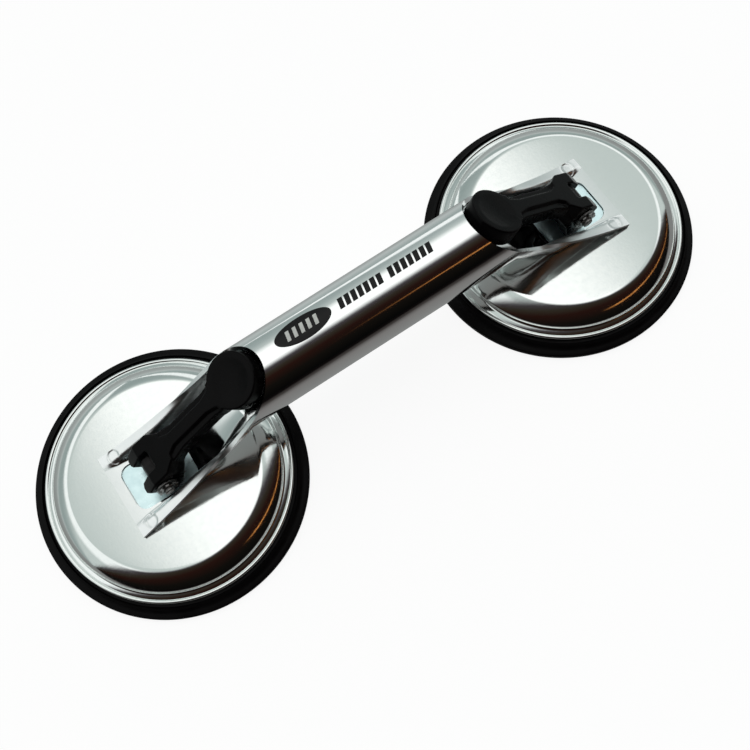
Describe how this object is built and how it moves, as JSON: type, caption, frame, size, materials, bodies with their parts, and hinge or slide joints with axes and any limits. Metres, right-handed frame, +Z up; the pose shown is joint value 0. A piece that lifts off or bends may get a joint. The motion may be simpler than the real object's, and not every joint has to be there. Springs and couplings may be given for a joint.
{
  "type": "two-cup suction lifter",
  "caption": "Carrying handle for glass and tiles: a chromed tube between two vacuum cups, each locked by a cam lever.",
  "frame": {"origin": "on the ground, midway between the two cups", "axes": "+X along the handle, +Y across it, +Z up from the sealing faces"},
  "size_m": [0.325, 0.12, 0.0634],
  "materials": {
    "chrome": "bright chrome plating",
    "plate": "bright plated, fine satin scratches on the flat",
    "zinc": "bluish bright zinc",
    "steel": "plain turned and zinc plated",
    "rubber": "smooth black moulded rubber",
    "plastic": "black moulded plastic, satin"
  },
  "bodies": {
    "frame": {"handle_tube": "chrome", "left_cup_plate": "plate", "left_wear_plate": "zinc", "left_rubber_pad": "rubber", "right_cup_plate": "plate", "right_wear_plate": "zinc", "right_rubber_pad": "rubber"},
    "left_stud": {"left_pad_centre": "rubber", "left_pad_insert": "steel", "left_lift_stud": "steel", "left_pivot_pin": "steel", "left_pin_washer": "steel", "left_pin_clip": "steel"},
    "left_cam_lever": {"left_lever": "plastic"},
    "right_stud": {"right_pad_centre": "rubber", "right_pad_insert": "steel", "right_lift_stud": "steel", "right_pivot_pin": "steel", "right_pin_washer": "steel", "right_pin_clip": "steel"},
    "right_cam_lever": {"right_lever": "plastic"}
  },
  "joints": [
    {"name": "left_stud_slide", "type": "slide", "parent": "frame", "child": "left_stud", "axis": [0, 0, 1], "range_m": [-0.0027, 0]},
    {"name": "left_lever_pivot", "type": "hinge", "parent": "left_stud", "child": "left_cam_lever", "pos_m": [-0.1025, 0, 0.0262], "axis": [0, -1, 0], "range_deg": [0, 60]},
    {"name": "right_stud_slide", "type": "slide", "parent": "frame", "child": "right_stud", "axis": [0, 0, 1], "range_m": [-0.0027, 0]},
    {"name": "right_lever_pivot", "type": "hinge", "parent": "right_stud", "child": "right_cam_lever", "pos_m": [0.1025, 0, 0.0262], "axis": [0, 1, 0], "range_deg": [0, 60]}
  ],
  "couplings": [
    {"joint": "left_stud_slide", "follows": "left_lever_pivot", "m_per_rad": -0.002578},
    {"joint": "right_stud_slide", "follows": "right_lever_pivot", "m_per_rad": -0.002578}
  ]
}
